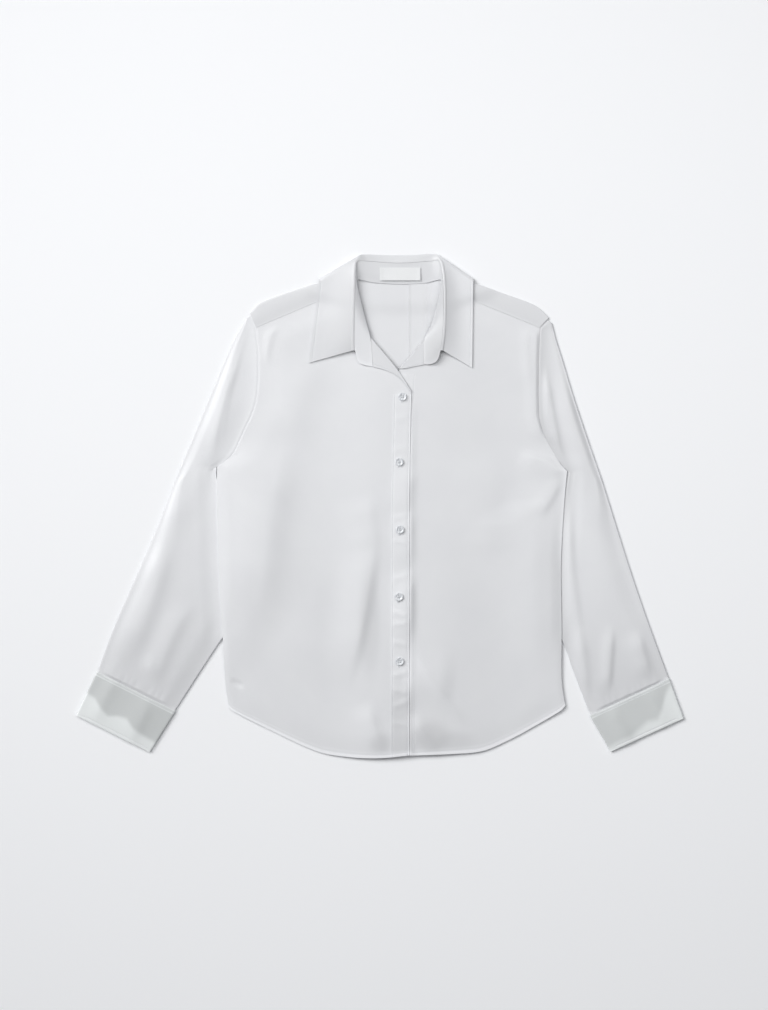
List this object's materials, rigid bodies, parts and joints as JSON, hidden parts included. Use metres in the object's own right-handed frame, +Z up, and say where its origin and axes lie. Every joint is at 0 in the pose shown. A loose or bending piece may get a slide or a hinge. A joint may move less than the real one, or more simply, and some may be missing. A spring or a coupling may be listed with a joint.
{
  "type": "button-up blouse",
  "caption": "Women's long-sleeved satin blouse laid flat face up, with an open pointed collar on a stand, a buttoned front, turned-out neck corners, plain cuffs and a curved hem.",
  "frame": {"origin": "on the surface that the blouse lies on, beneath the back, on the centre line at the height of the underarms", "axes": "+X towards the wearer's left sleeve, +Y towards the collar, +Z up from the surface, out of the front"},
  "size_m": [0.8502, 0.7048, 0.02],
  "materials": {
    "satin": "pale grey-white polyester satin",
    "cuff_satin": "the same satin, interfaced and darker where it turns from the light",
    "ribbon": "bare white woven ribbon",
    "pearl": "pearly polyester button"
  },
  "bodies": {
    "root": {"back": "satin", "front_right": "satin", "front_left": "satin", "placket_right": "satin", "placket_left": "satin", "sleeve_right": "satin", "sleeve_left": "satin", "cuff_right": "cuff_satin", "cuff_left": "cuff_satin", "collar_stand": "satin", "collar_fall": "satin", "neck_label": "ribbon", "button_1": "pearl", "button_2": "pearl", "button_3": "pearl", "button_4": "pearl", "button_5": "pearl", "button_stand": "pearl"}
  },
  "joints": []
}
